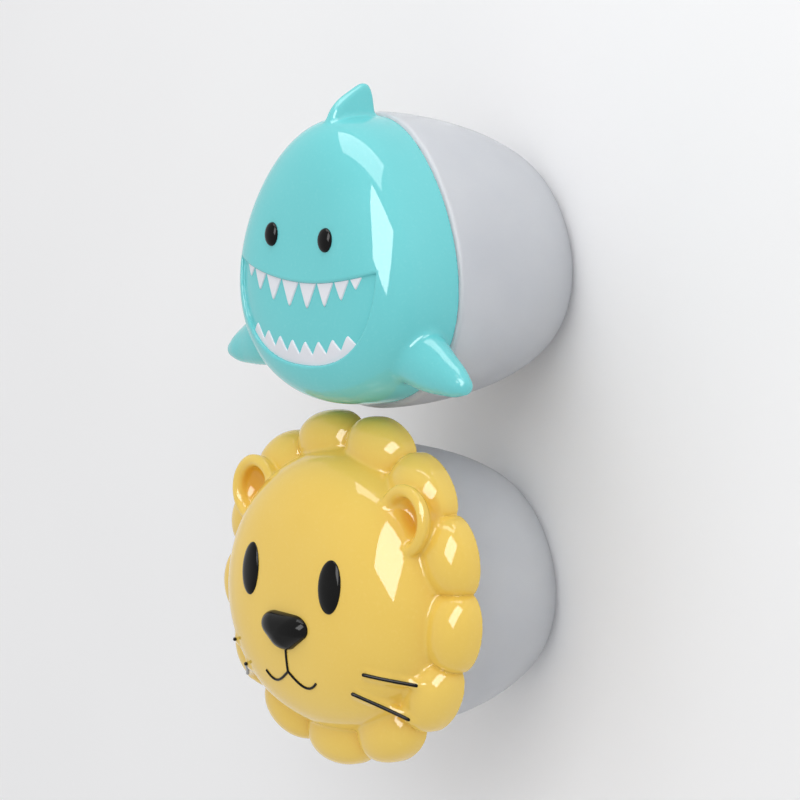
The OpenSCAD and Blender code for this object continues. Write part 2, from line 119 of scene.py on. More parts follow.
class Finish:
    def __init__(self, name, fixed):
        self.material = bpy.data.materials.new(name)
        self.material.use_nodes = True
        self.tree = self.material.node_tree
        self.shader = self.tree.nodes["Principled BSDF"]
        for socket, value in fixed.items():
            self.shader.inputs[socket].default_value = value
        self.spot = self.add("ShaderNodeTexCoord", output="Object")

    def add(self, kind, settings=None, inputs=None, output=0):
        node = self.tree.nodes.new(kind)
        for name, value in (settings or {}).items():
            setattr(node, name, value)
        for name, value in (inputs or {}).items():
            if isinstance(value, Wire):
                self.tree.links.new(value.socket, node.inputs[name])
            else:
                node.inputs[name].default_value = value
        return Wire(self, node.outputs[output])

    def noise(self, scale, detail=2.0, spot=None):
        return self.add("ShaderNodeTexNoise", None,
                        {"Vector": spot or self.spot, "Scale": scale, "Detail": detail})

    def stretched(self, factors, turn=0.0):
        return self.add("ShaderNodeMapping", None,
                        {"Vector": self.spot, "Rotation": (0, 0, turn), "Scale": factors})

    def mix(self, mask, colourA, colourB):
        return self.add("ShaderNodeMix", {"data_type": "RGBA"}, {0: mask, 6: colourA, 7: colourB}, output=2)

    def spread(self, value, low, high):
        return self.add("ShaderNodeMapRange", None,
                        {"Value": value, "From Min": low, "From Max": high})

    def bump(self, height, distance, strength=1.0):
        return self.add("ShaderNodeBump", None,
                        {"Height": height, "Distance": distance, "Strength": strength})

    def link(self, socket, wire):
        self.tree.links.new(wire.socket, self.shader.inputs[socket])


def scratches(finish):
    # hair-fine scratches in two directions, as a box of toys leaves them
    first = finish.noise(1.0, 3.0, finish.stretched((60, 2200, 900), 0.5))
    second = finish.noise(1.0, 3.0, finish.stretched((1900, 50, 900), 0.9))
    return finish.spread(first, 0.70, 0.78) + finish.spread(second, 0.71, 0.79)


lidLooks = {
    "shark": {"colour": (0.165, 0.630, 0.655, 1), "deep": (0.145, 0.600, 0.625, 1),
              "edge": (0.230, 0.690, 0.710, 1), "roughness": 0.035},
    "lion": {"colour": (0.860, 0.600, 0.125, 1), "deep": (0.835, 0.565, 0.100, 1),
             "edge": (0.900, 0.660, 0.180, 1), "roughness": 0.04,
             # the deeper orange below is painted shade inside the ear cups
             "earPaintedShade": (0.780, 0.420, 0.035, 1)},
}


def lidFinish(name, look, home=None, cup=None):
    finish = Finish(name, {"IOR": 1.49, "Specular IOR Level": 0.5})
    drift = finish.spread(finish.noise(18, 3.0), 0.35, 0.68)
    grain = finish.noise(900, 2.0)
    marks = scratches(finish)
    colour = finish.mix(drift, look["deep"], look["colour"])
    colour = finish.mix(finish.spread(grain, 0.55, 0.75) * 0.18, colour, look["edge"])
    if cup:
        # painted shade: the colour turns deeper orange down inside the ear cups, where shade falls in the
        # hollow
        x, y, z = (finish.add("ShaderNodeSeparateXYZ", None, {0: finish.spot}, output=k) for k in range(3))
        across = finish.add("ShaderNodeMath", {"operation": "ABSOLUTE"}, {0: x})
        side = (across - cup["spot"][0] * mm) * (1 / (cup["radii"][0] * mm))
        along = (y - (cup["spot"][1] + home.y) * mm) * (1 / (cup["radii"][1] * mm))
        deep = (z - (cup["spot"][2] + home.z) * mm) * (1 / (cup["radii"][2] * mm))
        reach = side * side + along * along + deep * deep
        colour = finish.mix(finish.spread(1 - reach, 0.0, 0.75), colour, look["earPaintedShade"])
    finish.link("Base Color", colour)
    rough = finish.spread(finish.noise(45, 4.0), 0.3, 0.8) * 0.02 + marks * 0.08 + look["roughness"]
    finish.link("Roughness", rough)
    peel = finish.noise(160, 1.0) + grain * 0.05 - marks * 0.1
    finish.link("Normal", finish.bump(peel, 0.00002, 0.3))
    return finish.material


def frostedFinish(name):
    finish = Finish(name, {"IOR": 1.48, "Transmission Weight": 0.55, "Specular IOR Level": 0.45})
    cloud = finish.spread(finish.noise(30, 4.0), 0.3, 0.7)
    grain = finish.noise(2600, 2.0)
    colour = finish.mix(cloud, (0.80, 0.82, 0.86, 1), (0.87, 0.885, 0.91, 1))
    finish.link("Base Color", colour)
    finish.link("Roughness", grain * 0.16 + cloud * 0.06 + scratches(finish) * 0.1 + 0.36)
    finish.link("Normal", finish.bump(grain + finish.noise(700, 3.0) * 0.6, 0.00004, 0.5))
    return finish.material


def linerFinish(name):
    finish = Finish(name, {"IOR": 1.48, "Transmission Weight": 0.25})
    cloud = finish.spread(finish.noise(40, 3.0), 0.3, 0.7)
    finish.link("Base Color", finish.mix(cloud, (0.78, 0.80, 0.80, 1), (0.86, 0.88, 0.88, 1)))
    finish.link("Roughness", cloud * 0.08 + scratches(finish) * 0.12 + 0.24)
    finish.link("Normal", finish.bump(finish.noise(800, 2.0), 0.00003, 0.4))
    return finish.material


def siliconeFinish(name):
    finish = Finish(name, {"IOR": 1.42, "Sheen Weight": 0.2, "Sheen Roughness": 0.5})
    dust = finish.spread(finish.noise(500, 4.0), 0.45, 0.75)
    finish.link("Base Color", finish.mix(dust, (0.80, 0.80, 0.775, 1), (0.88, 0.88, 0.86, 1)))
    finish.link("Roughness", dust * 0.15 + 0.5)
    finish.link("Normal", finish.bump(finish.noise(1500, 2.0), 0.00003, 0.5))
    return finish.material


def blackFinish(name):
    finish = Finish(name, {"IOR": 1.5, "Specular IOR Level": 0.16})
    dust = finish.spread(finish.noise(1400, 3.0), 0.62, 0.8)
    cloud = finish.spread(finish.noise(120, 3.0), 0.3, 0.7)
    colour = finish.mix(cloud, (0.003, 0.003, 0.003, 1), (0.005, 0.005, 0.005, 1))
    finish.link("Base Color", finish.mix(dust * 0.3, colour, (0.02, 0.02, 0.021, 1)))
    finish.link("Roughness", cloud * 0.03 + dust * 0.1 + 0.07)
    finish.link("Normal", finish.bump(finish.noise(600, 2.0), 0.00002, 0.3))
    return finish.material


def toothFinish(name):
    finish = Finish(name, {"IOR": 1.48})
    cloud = finish.spread(finish.noise(90, 3.0), 0.3, 0.7)
    finish.link("Base Color", finish.mix(cloud, (0.72, 0.735, 0.79, 1), (0.78, 0.79, 0.84, 1)))
    finish.link("Roughness", cloud * 0.08 + finish.spread(finish.noise(1200, 2.0), 0.4, 0.8) * 0.1 + 0.3)
    finish.link("Normal", finish.bump(finish.noise(900, 2.0), 0.00002, 0.4))
    return finish.material


# distances to solid forms, in millimetres, negative inside
def smoothUnion(a, b, blend):
    near = np.maximum(blend - np.abs(a - b), 0) / blend
    return np.minimum(a, b) - near * near * blend / 4


def smoothCommon(a, b, blend):
    return -smoothUnion(-a, -b, blend)


def measured(form, least=0.012, step=0.05):
    # turns any field into a distance that is true near the surface
    def distance(x, y, z):
        slope = 0
        for dx, dy, dz in ((step, 0, 0), (0, step, 0), (0, 0, step)):
            rise = form(x + dx, y + dy, z + dz) - form(x - dx, y - dy, z - dz)
            slope = slope + (rise / (2 * step)) ** 2
        return form(x, y, z) / np.maximum(np.sqrt(slope), least)
    return distance


# an egg-shaped plan is (half width, half length, egg)
def inset(plan, d):
    return (plan[0] - d, plan[1] - d, plan[2])


def planPoint(plan, angle, share=1.0):
    across = share * plan[0] * np.cos(angle) * (1 - plan[2] * share * np.sin(angle))
    return across, share * plan[1] * np.sin(angle)


def shareAt(plan, x, y):
    return np.hypot(x / (plan[0] * (1 - plan[2] * y / plan[1])), y / plan[1])


def prismOf(plan):
    return measured(lambda x, y, z: shareAt(plan, x, y) - 1 + 0 * z)


class Dome:
    def __init__(self, plan, height, fullness):
        self.plan = plan
        self.height = height
        self.fullness = fullness
        self.distance = measured(self.raw)

    def raw(self, x, y, z):
        share = shareAt(self.plan, x, y)
        rise = np.abs(z) / self.height
        return (share ** self.fullness + rise ** self.fullness) ** (1 / self.fullness) - 1

    def top(self, x, y):
        share = np.minimum(shareAt(self.plan, x, y), 1)
        return self.height * (1 - share ** self.fullness) ** (1 / self.fullness)

    def normal(self, x, y, step=0.2):
        out = np.array([self.top(x - step, y) - self.top(x + step, y),
                        self.top(x, y - step) - self.top(x, y + step), 2 * step])
        return out / np.linalg.norm(out)


def outlineDistance(points):
    # signed distance to a closed flat outline
    ends = list(zip(points, points[1:] + points[:1]))

    def distance(u, v):
        u, v = np.broadcast_arrays(u, v)
        best = np.full(u.shape, 1e9)
        inside = np.zeros(u.shape, bool)
        for (au, av), (bu, bv) in ends:
            eu, ev = bu - au, bv - av
            t = np.clip(((u - au) * eu + (v - av) * ev) / (eu * eu + ev * ev), 0, 1)
            best = np.minimum(best, (u - au - t * eu) ** 2 + (v - av - t * ev) ** 2)
            if ev:
                inside ^= ((av > v) != (bv > v)) & (u < au + (v - av) * eu / ev)
        best = np.sqrt(best)
        return np.where(inside, -best, best)
    return distance


def smoothPath(points, steps, closed=False):
    # even curve through the points, any number of values each
    rows = [np.array(point, float) for point in points]
    count = len(rows)
    spans = count if closed else count - 1
    path = []
    for i in range(spans):
        if closed:
            p0, p1, p2, p3 = (rows[(i + k) % count] for k in (-1, 0, 1, 2))
        else:
            p0, p1, p2, p3 = rows[max(i - 1, 0)], rows[i], rows[i + 1], rows[min(i + 2, count - 1)]
        for k in range(steps):
            t = k / steps
            path.append(0.5 * (2 * p1 + (p2 - p0) * t + (2 * p0 - 5 * p1 + 4 * p2 - p3) * t ** 2
                               + (3 * p1 - p0 - 3 * p2 + p3) * t ** 3))
    if not closed:
        path.append(rows[-1])
    return path


def limb(path):
    # rounded limb along (x, y, z, radius, breadth), wider in y by its breadth
    def distance(x, y, z):
        best = None
        for a, b in zip(path, path[1:]):
            e = b[:3] - a[:3]
            t = ((x - a[0]) * e[0] + (y - a[1]) * e[1] + (z - a[2]) * e[2]) / (e @ e)
            t = np.clip(t, 0, 1)
            wide = a[4] + (b[4] - a[4]) * t
            off = np.sqrt((x - a[0] - e[0] * t) ** 2 + ((y - a[1] - e[1] * t) / wide) ** 2
                          + (z - a[2] - e[2] * t) ** 2)
            reach = off - a[3] - (b[3] - a[3]) * t
            best = reach if best is None else np.minimum(best, reach)
        return best
    return distance


# meshes
def netSurface(form, low, high, cell):
    # quad skin of a form where its distance is 0, one point for each cell that the surface passes
    axes = [np.arange(a, b + cell / 2, cell) for a, b in zip(low, high)]
    values = form(axes[0][:, None, None], axes[1][None, :, None], axes[2][None, None, :])
    inside = values < 0
    spans = [n - 1 for n in values.shape]

    def corner(array, i, j, k):
        return array[i:i + spans[0], j:j + spans[1], k:k + spans[2]]

    count = sum(corner(inside, i, j, k).astype(np.int8) for i in (0, 1) for j in (0, 1) for k in (0, 1))
    cells = np.argwhere((count > 0) & (count < 8))
    index = np.full(spans, -1)
    index[tuple(cells.T)] = np.arange(len(cells))
    total = np.zeros((len(cells), 3))
    number = np.zeros(len(cells))
    for axis in range(3):
        for j in (0, 1):
            for k in (0, 1):
                start = np.zeros(3, int)
                start[(axis + 1) % 3], start[(axis + 2) % 3] = j, k
                end = start.copy()
                end[axis] = 1
                a = values[tuple((cells + start).T)]
                b = values[tuple((cells + end).T)]
                cut = (a < 0) != (b < 0)
                where = (cells + start)[cut].astype(float)
                where[:, axis] += a[cut] / (a[cut] - b[cut])
                total[cut] += where
                number[cut] += 1
    points = np.array([axis[0] for axis in axes]) + cell * total / number[:, None]

    quads = []
    for axis in range(3):
        u, v = (axis + 1) % 3, (axis + 2) % 3
        first, second = [slice(1, -1)] * 3, [slice(1, -1)] * 3
        first[axis], second[axis] = slice(0, -1), slice(1, None)
        a, b = inside[tuple(first)], inside[tuple(second)]
        for crossing, order in ((a & ~b, 1), (~a & b, -1)):
            edges = np.argwhere(crossing)
            edges[:, u] += 1
            edges[:, v] += 1
            ring = []
            for du, dv in ((-1, -1), (0, -1), (0, 0), (-1, 0)):
                cellAt = edges.copy()
                cellAt[:, u] += du
                cellAt[:, v] += dv
                ring.append(index[tuple(cellAt.T)])
            quads.append(np.stack(ring, axis=1)[:, ::order])
    return points, np.concatenate(quads)


def gradient(form, points, step):
    columns = []
    for axis in range(3):
        ahead, behind = points.copy(), points.copy()
        ahead[:, axis] += step
        behind[:, axis] -= step
        columns.append((form(*ahead.T) - form(*behind.T)) / (2 * step))
    return np.stack(columns, axis=1)


def settle(form, points, quads, cell, rounds=3):
    # evens the points out along the surface and draws them onto it
    starts = quads.ravel()
    ends = np.roll(quads, -1, axis=1).ravel()
    degree = np.bincount(starts, minlength=len(points))[:, None]
    for turn in range(rounds):
        slope = gradient(form, points, 0.1 * cell)
        size = np.maximum((slope ** 2).sum(axis=1, keepdims=True), 0.05)
        shift = -slope * form(*points.T)[:, None] / size
        reach = np.linalg.norm(shift, axis=1, keepdims=True)
        points = points + shift * np.minimum(1, 0.5 * cell / np.maximum(reach, 1e-9))
        if turn < rounds - 1:
            middle = np.stack([np.bincount(starts, weights=points[ends, k], minlength=len(points))
                               for k in range(3)], axis=1) / degree
            drift = middle - points
            normal = slope / np.sqrt(size)
            drift -= normal * (drift * normal).sum(axis=1, keepdims=True)
            points = points + 0.5 * drift
    slope = gradient(form, points, 0.15 * cell)
    return points, slope / np.linalg.norm(slope, axis=1, keepdims=True)


def makePiece(name, node, home, points, faces, material, normals=None):
    mesh = bpy.data.meshes.new(name)
    places = (np.asarray(points, float) + np.array(home)) * mm
    mesh.from_pydata(places.tolist(), [], [list(map(int, face)) for face in faces])
    mesh.update()
    mesh.shade_smooth()
    if normals is not None:
        mesh.normals_split_custom_set_from_vertices(normals.tolist())
    mesh.materials.append(material)
    piece = bpy.data.objects.new(name, mesh)
    bpy.context.scene.collection.objects.link(piece)
    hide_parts(node)
    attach(piece, bodyOf[node])
    print("made", name, len(mesh.vertices), "points")
    return piece


def joined(parts):
    # one mesh from several (points, faces)
    points, faces, start = [], [], 0
    for some, theirs in parts:
        points.extend(some)
        faces.extend([start + i for i in face] for face in theirs)
        start += len(some)
    return points, faces


def softened(rings, radius):
    # rounds the sharp corners of a profile that is given as whole rings
    out = [rings[0]]
    for before, here, after in zip(rings, rings[1:], rings[2:]):
        back, on = before - here, after - here
        backLength = np.linalg.norm(back, axis=1).mean()
        onLength = np.linalg.norm(on, axis=1).mean()
        bend = (back * on).sum(axis=1).mean() / (backLength * onLength)
        if bend < -0.9:
            out.append(here)
            continue
        r = min(radius, 0.45 * backLength, 0.45 * onLength)
        start, end = here + back * (r / backLength), here + on * (r / onLength)
        for t in (0, 0.2, 0.4, 0.6, 0.8, 1):
            out.append((1 - t) ** 2 * start + 2 * t * (1 - t) * here + t * t * end)
    return out + [rings[-1]]


def loft(rings, loop=False):
    count = len(rings[0])
    rows = len(rings)
    points = [point for ring in rings for point in ring]
    faces = []
    for k in range(rows if loop else rows - 1):
        for i in range(count):
            j = (i + 1) % count
            low, high = k * count, (k + 1) % rows * count
            faces.append([low + i, low + j, high + j, high + i])
    if not loop:
        faces.append(list(range(count))[::-1])
        faces.append([(rows - 1) * count + i for i in range(count)])
    return points, faces


def tube(path, radius, sides=12):
    # round line with round ends
    path = [np.array(p, float) for p in path]
    rings = []
    for k, spot in enumerate(path):
        ahead = path[min(k + 1, len(path) - 1)] - path[max(k - 1, 0)]
        ahead /= np.linalg.norm(ahead)
        side = np.cross(ahead, (0, 0, 1))
        side /= np.linalg.norm(side)
        lift = np.cross(side, ahead)
        turns = [(0, 1)]
        if k == 0:
            turns = [(-math.cos(a), math.sin(a)) for a in np.linspace(0.15, math.pi / 2, 4)]
        if k == len(path) - 1:
            turns = [(math.cos(a), math.sin(a)) for a in np.linspace(math.pi / 2, 0.15, 4)]
        for along, wide in turns:
            rings.append(np.array([spot + ahead * along * radius + radius * wide
                                   * (side * math.cos(a) + lift * math.sin(a))
                                   for a in np.linspace(0, 2 * math.pi, sides, endpoint=False)]))
    points, faces = loft(rings)
    return points, [face[::-1] for face in faces]


# bowls
rim = {"plan": (41.6, 44.6, 0.22), "wall": 1.8, "pocket": 9.2, "seatGap": 0.1}
bowlShape = {"reach": 1.3, "edge": 1.5, "wall": 1.8, "floor": 2.4, "foot": 0.58, "fullness": 1.75,
             "ring": 4, "hollow": 0.6, "collar": 7, "collarGap": 0.4, "collarWall": 1.6, "neck": 9}
ringSteps = 144


def ringAt(plan, z, share=1.0):
    angles = np.linspace(0, 2 * math.pi, ringSteps, endpoint=False)
    x, y = planPoint(plan, angles, share)
    return np.stack([x, y, np.full(ringSteps, float(z))], axis=1)


def bowlRings(height):
    s = bowlShape
    outer = inset(rim["plan"], -s["reach"])
    inner = inset(outer, s["wall"])
    collarOut = inset(rim["plan"], rim["wall"] + s["collarGap"])
    neck = inset(collarOut, s["collarWall"])
    footInside = s["foot"] - s["ring"] / outer[1]
    top = height + s["collar"]

    def side(plan, low, rise, degrees):
        a = math.radians(degrees)
        share = s["foot"] + (1 - s["foot"]) * math.cos(a) ** (2 / s["fullness"])
        return ringAt(plan, low + rise * (1 - math.sin(a) ** (2 / s["fullness"])), share)

    rings = [ringAt(outer, s["hollow"], share) for share in (0.03, 0.25, footInside - 0.015)]
    rings += [ringAt(outer, 0, footInside), ringAt(outer, 0, s["foot"])]
    rings += [side(outer, 0, height - s["edge"], a) for a in range(84, 0, -3)]
    for a in np.radians(range(0, 91, 15)):
        narrower = inset(outer, s["edge"] * (1 - math.cos(a)))
        rings.append(ringAt(narrower, height - s["edge"] * (1 - math.sin(a))))
    rings += [ringAt(collarOut, height), ringAt(collarOut, top - 3)]
    bead = s["collarWall"] / 2
    for a in np.radians(range(0, 181, 18)):
        rings.append(ringAt(inset(collarOut, bead * (1 - math.cos(a))), top - bead * (1 - math.sin(a))))
    rings.append(ringAt(neck, height))
    for t in np.linspace(0.1, 1, 10):
        ease = t * t * (3 - 2 * t)
        between = tuple(a + (b - a) * ease for a, b in zip(neck, inner))
        rings.append(ringAt(between, height - s["neck"] * t))
    rise = height - s["neck"] - s["floor"]
    rings += [side(inner, s["floor"], rise, a) for a in range(6, 88, 4)]
    rings += [ringAt(inner, s["floor"], share) for share in (0.5, 0.25, 0.03)]
    return softened(rings, 0.5)


# what closes a lid from below
linerShape = {"thick": 1.5, "rise": 0.6, "plug": 5, "plugWall": 1.4, "sealWidth": 1.6, "sealHeight": 2.4,
              "sealProud": 0.5, "gap": 0.1}


def linerPlans():
    s = linerShape
    collarIn = inset(rim["plan"], rim["wall"] + bowlShape["collarGap"] + bowlShape["collarWall"])
    plugOut = inset(collarIn, s["sealProud"] + s["gap"])
    groove = inset(collarIn, bowlShape["collarGap"] + s["sealWidth"])
    return collarIn, plugOut, groove, inset(groove, s["plugWall"])


def linerRings():
    s = linerShape
    _, plugOut, groove, plugIn = linerPlans()
    plate = inset(rim["plan"], rim["wall"] + s["gap"])
    low = bowlShape["collar"] + s["rise"]
    sealLow = low - s["plug"] + (s["plug"] - s["sealHeight"]) / 2
    rings = [ringAt(plugIn, low, share) for share in (0.03, 0.4, 0.8)]
    rings += [ringAt(plugIn, low), ringAt(plugIn, low - s["plug"]), ringAt(plugOut, low - s["plug"]),
              ringAt(plugOut, sealLow - s["gap"]), ringAt(groove, sealLow - s["gap"]),
              ringAt(groove, sealLow + s["sealHeight"] + s["gap"]),
              ringAt(plugOut, sealLow + s["sealHeight"] + s["gap"]),
              ringAt(plugOut, low), ringAt(plate, low), ringAt(plate, low + s["thick"])]
    rings += [ringAt(plate, low + s["thick"], share) for share in (0.8, 0.4, 0.03)]
    return softened(rings, 0.25)


def sealRings():
    s = linerShape
    collarIn, _, groove, _ = linerPlans()
    outer = inset(collarIn, bowlShape["collarGap"])
    inner = inset(groove, -s["gap"])
    low = bowlShape["collar"] + s["rise"] - s["plug"] + (s["plug"] - s["sealHeight"]) / 2
    middle = low + s["sealHeight"] / 2
    half = s["sealHeight"] / 2
    rings = [ringAt(inner, low + 0.3), ringAt(inset(inner, -0.3), low)]
    for a in np.radians(range(-80, 81, 20)):
        # the lip bulges towards the collar
        rings.append(ringAt(inset(outer, 0.9 * (1 - math.cos(a))), middle + half * math.sin(a)))
    rings += [ringAt(inset(inner, -0.3), low + 2 * half), ringAt(inner, low + 2 * half - 0.3)]
    return rings


frosted = frostedFinish("frosted_shell")
natural = linerFinish("natural_liner")
silicone = siliconeFinish("soft_seal")
for animal, home in homes.items():
    onFloor = (home.x, home.y, 0)
    makePiece(animal + "_bowl_shell", animal + "_bowl", onFloor,
              *loft(bowlRings(home.z - rim["seatGap"])), frosted)
    makePiece(animal + "_liner", animal + "_lid_liner", home, *loft(linerRings()), natural)
    makePiece(animal + "_seal_ring", animal + "_seal", home, *loft(sealRings(), loop=True), silicone)
print("stage: bowls, liners and seals")

# shark lid
shark = {
    "fullness": 3.9,
    "mouthDepth": 1.4, "mouthHalfWidth": 33.3, "mouthY": -1.5, "mouthSag": 5.3, "mouthDrop": 30.5,
    "mouthRound": 2.4, "lip": 1.1, "backFinBlend": 1.6, "sideFinBlend": 2.0,
    "backFin": [(39, 16.5), (43, 17.6), (47.2, 15.3), (50.6, 11),
                (52.85, 7), (51.2, 5.4), (46, 4.6), (39, 4)],
    "backFinHalfThickness": (2.5, 1.5),
    "sideFin": [(33, -25.2, 9, 7.9, 1.25), (40.5, -27.6, 9, 6.9, 1.3), (47, -29.8, 9, 5.4, 1.32),
                (53, -31.8, 9, 4.2, 1.2), (57, -33, 9, 2.8, 1.05)],
    "cell": 0.62,
}
sharkDome = Dome(rim["plan"], sharkTop, shark["fullness"])


def mouthLow(x):
    across = np.minimum(np.abs(x) / shark["mouthHalfWidth"], 1)
    power = shark["mouthRound"]
    return shark["mouthY"] - shark["mouthDrop"] * (1 - across ** power) ** (1 / power)


def mouthHigh(x):
    return shark["mouthY"] - shark["mouthSag"] * (1 - (x / shark["mouthHalfWidth"]) ** 2)


def mouthOutline():
    w = shark["mouthHalfWidth"]
    upper = [(w * k / 10, float(mouthHigh(w * k / 10))) for k in range(-10, 11)]
    lower = [(w * math.cos(a), float(mouthLow(w * math.cos(a)))) for a in np.radians(range(6, 175, 6))]
    return upper + lower


mouthDistance = outlineDistance(mouthOutline())
backFinDistance = outlineDistance([tuple(p) for p in smoothPath(shark["backFin"], 4, closed=True)])
sideFin = limb(smoothPath(shark["sideFin"], 8))
rimPrism = prismOf(inset(rim["plan"], rim["wall"]))


def backFin(x, y, z):
    thick, thin = shark["backFinHalfThickness"]
    half = thick + (thin - thick) * np.clip((y - 40) / 13, 0, 1)
    return np.hypot(np.maximum(backFinDistance(y, z), 0), x) - half


def sharkLid(x, y, z):
    dome = sharkDome.distance(x, y, z)
    body = smoothUnion(dome, backFin(x, y, z), shark["backFinBlend"])
    body = smoothUnion(body, sideFin(np.abs(x), y, z), shark["sideFinBlend"])
    mouth = mouthDistance(x, y)
    recess = smoothCommon(mouth, -(dome + shark["mouthDepth"]), 0.5)
    body = smoothCommon(body, -recess, shark["lip"])
    hollow = np.maximum(dome + rim["wall"], rim["wall"] - mouth)
    hollow = np.minimum(hollow, dome + rim["wall"] + shark["mouthDepth"])
    pocket = np.maximum(rimPrism(x, y, 0 * z), z - rim["pocket"])
    body = np.maximum(body, -np.minimum(hollow, pocket))
    return smoothCommon(body, -z, 0.5)


def lidPiece(name, node, home, form, reach, cell, material):
    points, quads = netSurface(form, (-reach[0], -reach[1], -2 * cell), (reach[0], reach[1], reach[2]), cell)
    points, normals = settle(form, points, quads, cell)
    return makePiece(name, node, home, points, quads, material, normals)


tealShell = lidFinish("teal_shell", lidLooks["shark"])
lidPiece("shark_lid_shell", "shark_lid", homes["shark"], sharkLid, (62, 56.5, 31.5), shark["cell"], tealShell)
print("stage: shark lid")

# teeth: thin columns side by side that lie on the floor of the mouth
teeth = {"count": 8, "upperSpan": 31.6, "arc": 128, "fill": 0.475, "upperLength": 8.2, "shortening": 0.56,
         "stripHalfWidth": 25.7, "stripHeight": 3.2, "lowerLength": 4.5,
         "thick": 0.55, "rounding": 0.4, "edgeGap": 0.06, "sunk": 0.35}
mouthFloor = Dome(inset(sharkDome.plan, shark["mouthDepth"]), sharkDome.height - shark["mouthDepth"],
                  shark["fullness"])


def columns(xs, lows, highs, tipsDown):
    # a layer over the floor between two curves, rounded down along the edge with the tips
    rounding = teeth["rounding"]
    offsets = np.array([0, 0.03, 0.12, 0.3, 0.6, 1.0]) * rounding  # rows crowd at an edge
    grid = []
    for x, low, high in zip(xs, lows, highs):
        size = max(high - low, 0.02)
        start = np.minimum(offsets, 0.5 * size)
        rows = np.concatenate([low + start, np.linspace(low + start[-1], high - start[-1], 6)[1:-1],
                               (high - start)[::-1]])
        edge = rows - low if tipsDown else high - rows
        near = np.clip(1 - edge / rounding, 0, 1)
        lift = teeth["thick"] * np.sqrt(1 - near ** 2)
        grid.append([(x, y, float(mouthFloor.top(x, y)) + t) for y, t in zip(rows, lift)])
    rows = len(grid[0])
    top = [np.array(p) for column in grid for p in column]
    drop = np.array((0, 0, -teeth["sunk"]))
    under = [np.array((p[0], p[1], float(mouthFloor.top(p[0], p[1])))) + drop for p in top]
    faces = []
    count = len(top)
    for i in range(len(grid) - 1):
        for j in range(rows - 1):
            a, b = i * rows + j, (i + 1) * rows + j
            faces.append([a, b, b + 1, a + 1])
            faces.append([count + a, count + a + 1, count + b + 1, count + b])
    last = len(grid) - 1
    border = [i * rows for i in range(last + 1)]
    border += [last * rows + j for j in range(1, rows)]
    border += [i * rows + rows - 1 for i in range(last - 1, -1, -1)]
    border += list(range(rows - 2, 0, -1))
    for a, b in zip(border, border[1:] + border[:1]):
        faces.append([a, count + a, count + b, b])
    return top + under, faces


def upperTeeth():
    parts = []
    middle = (teeth["count"] - 1) / 2
    step = math.radians(teeth["arc"] / teeth["count"])
    w = teeth["upperSpan"]
    for i in range(teeth["count"]):
        a = (i - middle) * step
        centre = w * math.sin(a)
        half = teeth["fill"] * w * math.cos(a) * step
        length = teeth["upperLength"] * (1 - teeth["shortening"] * (abs(i - middle) / middle) ** 2.4)
        xs = centre + half * np.sin(np.linspace(-math.pi / 2, math.pi / 2, 25))
        away = np.abs(xs - centre) / half
        tip = 1 - np.sqrt(away ** 2 + 0.004) / math.sqrt(1.004)  # straight sides, a slightly round tip
        highs = mouthHigh(xs) - teeth["edgeGap"]
        lows = np.minimum(mouthHigh(xs) + 0.3 - (length + 0.3) * tip, highs - 0.02)
        parts.append(columns(xs, lows, highs, tipsDown=True))
    return joined(parts)


def lowerTeeth():
    w = teeth["stripHalfWidth"]
    pitch = 2 * w / teeth["count"]
    perTooth = 24
    xs = np.linspace(-w, w, teeth["count"] * perTooth + 1)
    foot = mouthLow(0) + teeth["stripHeight"]
    valley = foot + (mouthLow(w) - foot) * (xs / w) ** 2
    where = np.abs(((xs + w) / pitch) % 1 - 0.5) * 2  # 0 at a tip, 1 in a valley
    tip = 1 - np.sqrt(where ** 2 + 0.01) / math.sqrt(1.01)
    length = teeth["lowerLength"] * (1 - 0.12 * (xs / w) ** 2)
    highs = valley + length * tip
    lows = mouthLow(xs) + teeth["edgeGap"]
    return columns(xs, lows, highs, tipsDown=False)


toothWhite = toothFinish("tooth_white")
makePiece("shark_upper_teeth_row", "shark_upper_teeth", homes["shark"], *upperTeeth(), toothWhite)
makePiece("shark_lower_teeth_row", "shark_lower_teeth", homes["shark"], *lowerTeeth(), toothWhite)


def domedOval(dome, centre, size, fullness=2.2, sunk=0.5):
    # an eye that follows the face under it
    normal = dome.normal(*centre)
    ex = np.cross((0, 1, 0), normal)
    ex /= np.linalg.norm(ex)
    ey = np.cross(normal, ex)
    angles = np.linspace(0, 2 * math.pi, 64, endpoint=False)
    steps = [(1, -sunk)]
    for a in np.radians([0, 6, 14, 24, 36, 48, 60, 70, 78, 84]):
        steps.append((math.cos(a) ** (2 / fullness), size[2] * math.sin(a) ** (2 / fullness)))
    rings = []
    for share, height in steps:
        ring = []
        for a in angles:
            offset = share * (size[0] * math.cos(a) * ex + size[1] * math.sin(a) * ey)
            x, y = centre[0] + offset[0], centre[1] + offset[1]
            ring.append(np.array((x, y, float(dome.top(x, y)))) + normal * height)
        rings.append(np.array(ring))
    return loft(rings)


sharkEyes = {"size": (3.1, 3.7, 1.6), "at": (13.4, 7)}
glossBlack = blackFinish("gloss_black")
for side, name in ((-1, "left"), (1, "right")):
    centre = (side * sharkEyes["at"][0], sharkEyes["at"][1])
    makePiece("shark_" + name + "_eye_bead", "shark_" + name + "_eye", homes["shark"],
              *domedOval(sharkDome, centre, sharkEyes["size"]), glossBlack)
print("stage: shark's teeth and eyes")

